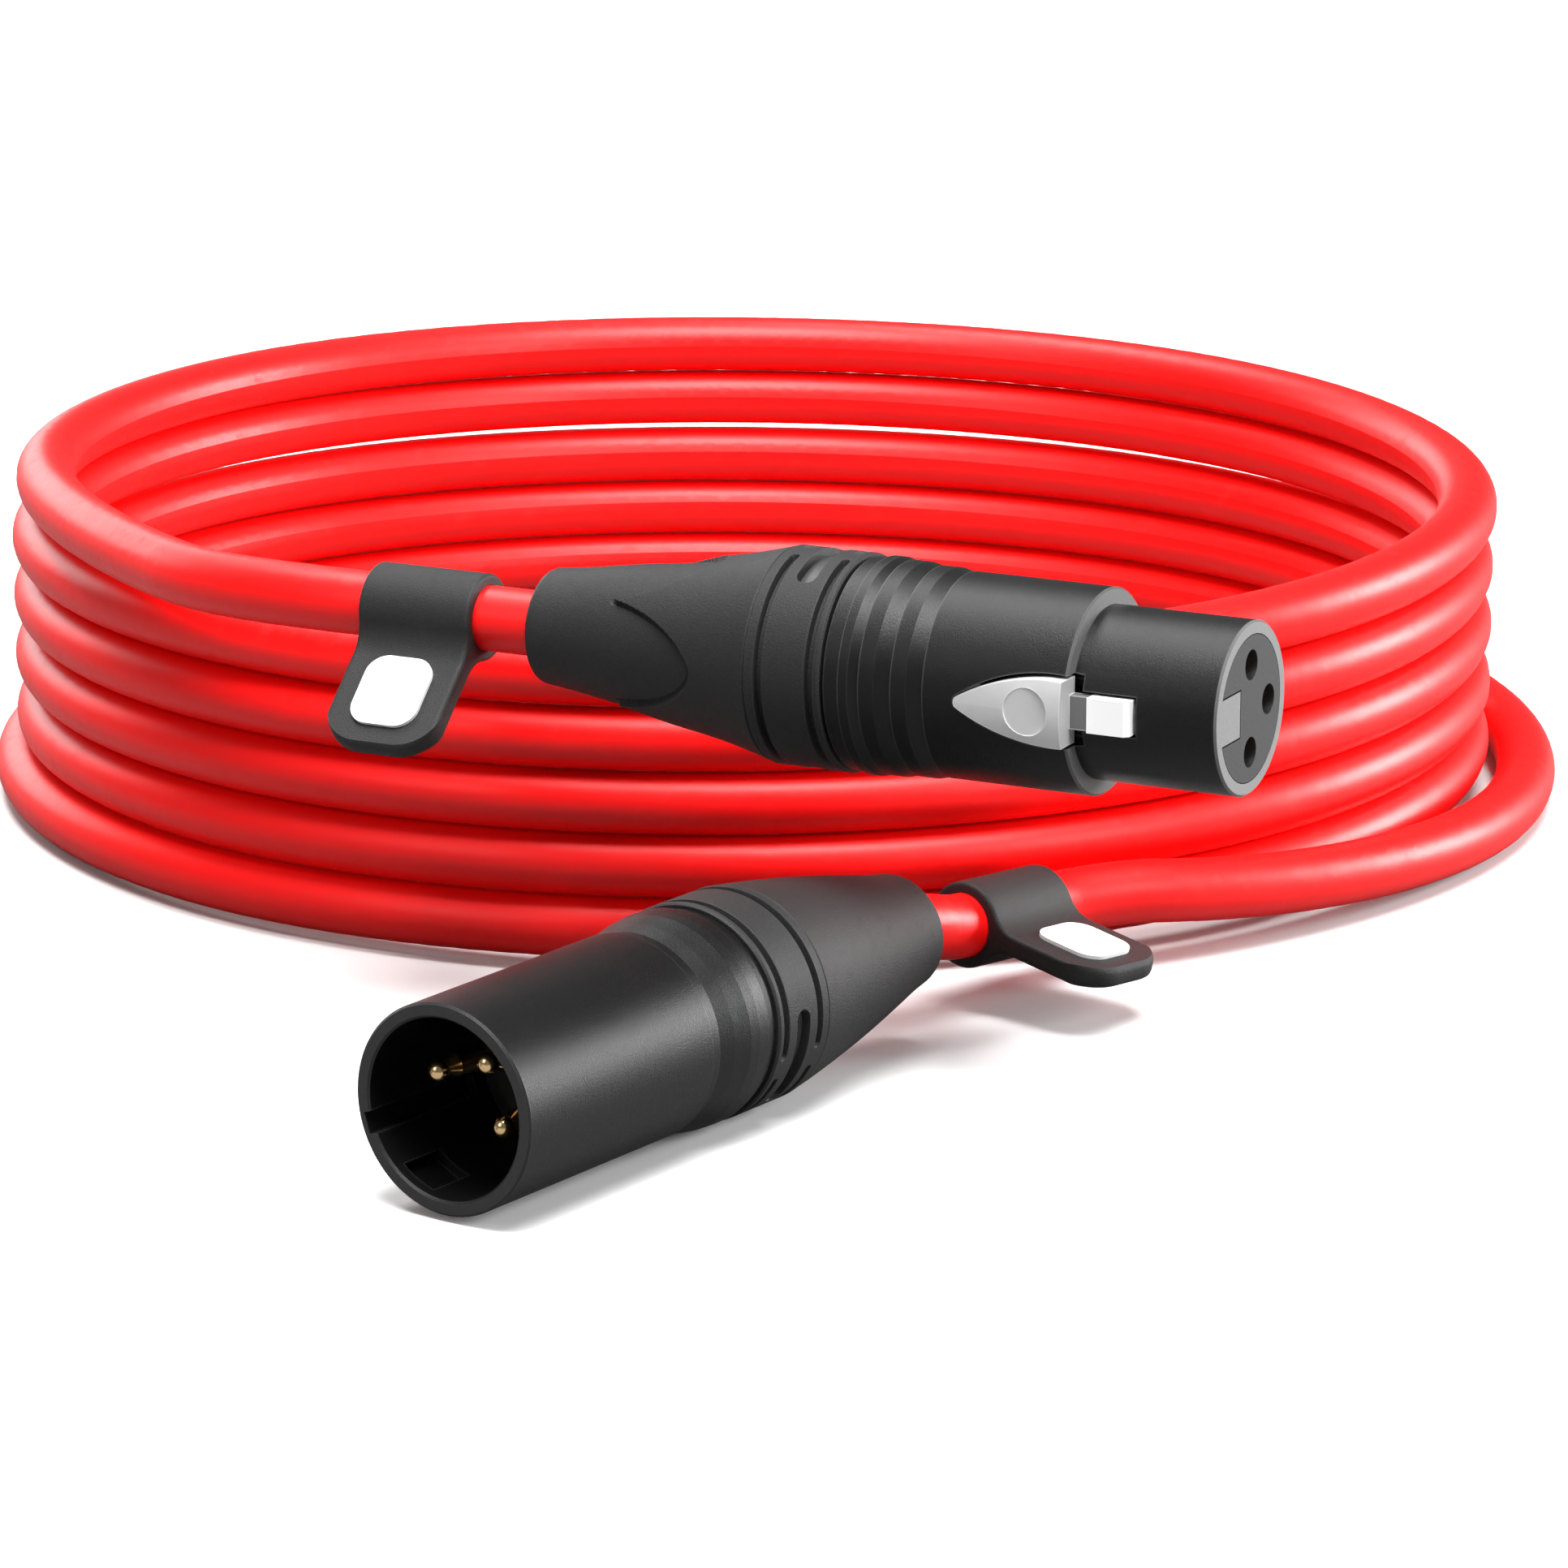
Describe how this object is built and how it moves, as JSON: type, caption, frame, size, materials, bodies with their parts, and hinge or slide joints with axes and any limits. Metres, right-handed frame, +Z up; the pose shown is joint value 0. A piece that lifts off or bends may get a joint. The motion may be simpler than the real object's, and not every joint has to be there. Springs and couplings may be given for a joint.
{
  "type": "xlr microphone cable coil",
  "caption": "Coiled flexible microphone cable with a latching female and a male three-contact circular connector, screw-on strain relief boots and swivelling rubber write-on tags.",
  "frame": {"origin": "on the resting surface, under the centre of the coil", "axes": "+Z up through the coil's eye, +X to the coil's right and -Y towards the two connectors"},
  "size_m": [0.1664, 0.2414, 0.048],
  "materials": {
    "jacket": "satin flexible PVC, bright red",
    "copper": "spiral-lapped bare copper",
    "core_one": "polyethylene insulation",
    "core_two": "polyethylene insulation",
    "shell": "satin black zinc diecasting with bare grey end faces",
    "insert": "moulded dark grey",
    "gold": "gold plated, polished",
    "spring_steel": "spring strip",
    "latch": "satin nickel with bright edges",
    "nylon": "moulded nylon",
    "ring": "moulded",
    "boot": "matt dark grey elastomer",
    "tag": "matt silicone",
    "panel": "blank raised writing panel"
  },
  "bodies": {
    "cable": {"cable_jacket": "jacket", "cable_shield": "copper", "conductor_hot": "core_one", "conductor_cold": "core_two", "female_drain_tail": "copper", "male_drain_tail": "copper", "female_shell": "shell", "female_insert": "insert", "female_contacts": "gold", "female_earth_clip": "spring_steel", "female_latch_pin": "spring_steel", "male_shell": "shell", "male_insert": "insert", "male_pins": "gold", "male_earth_clip": "spring_steel"},
    "latch": {"female_latch_lever": "latch", "female_latch_spring": "spring_steel"},
    "female_chuck_slider": {"female_chuck": "nylon"},
    "female_boot_turner": {"female_boot_nut": "nylon", "female_coding_ring": "ring", "female_boot": "boot"},
    "male_chuck_slider": {"male_chuck": "nylon"},
    "male_boot_turner": {"male_boot_nut": "nylon", "male_coding_ring": "ring", "male_boot": "boot"},
    "female_tag_swivel": {"female_tag": "tag", "female_tag_panel": "panel"},
    "male_tag_swivel": {"male_tag": "tag", "male_tag_panel": "panel"}
  },
  "joints": [
    {"name": "latch_press", "type": "hinge", "parent": "cable", "child": "latch", "pos_m": [0.01759, -0.11652, 0.0379], "axis": [0, 0, 1], "range_deg": [0, 3.5], "stiffness_Nm_per_rad": 0.02},
    {"name": "female_chuck_slide", "type": "slide", "parent": "cable", "child": "female_chuck_slider", "axis": [-0.8923, 0.4513, 0], "range_m": [0, 0.00301]},
    {"name": "female_boot_turn", "type": "hinge", "parent": "female_chuck_slider", "child": "female_boot_turner", "pos_m": [0.00278, -0.10095, 0.0379], "axis": [-0.8923, 0.4513, 0], "range_deg": [0, 720]},
    {"name": "male_chuck_slide", "type": "slide", "parent": "cable", "child": "male_chuck_slider", "axis": [0.5857, 0.8106, 0], "range_m": [0, 0.00301]},
    {"name": "male_boot_turn", "type": "hinge", "parent": "male_chuck_slider", "child": "male_boot_turner", "pos_m": [-0.00181, -0.11636, 0.01007], "axis": [0.5857, 0.8106, 0], "range_deg": [0, 720]},
    {"name": "female_tag_turn", "type": "hinge", "parent": "cable", "child": "female_tag_swivel", "pos_m": [-0.03069, -0.08403, 0.0379], "axis": [-0.8923, 0.4513, 0], "range_deg": [-80, 150]},
    {"name": "male_tag_turn", "type": "hinge", "parent": "cable", "child": "male_tag_swivel", "pos_m": [0.02304, -0.08434, 0.00812], "axis": [0.6548, 0.7533, -0.061], "range_deg": [-110, 10]}
  ],
  "couplings": [
    {"joint": "female_chuck_slide", "follows": "female_boot_turn", "m_per_rad": 0.00023873},
    {"joint": "male_chuck_slide", "follows": "male_boot_turn", "m_per_rad": 0.00023873}
  ]
}
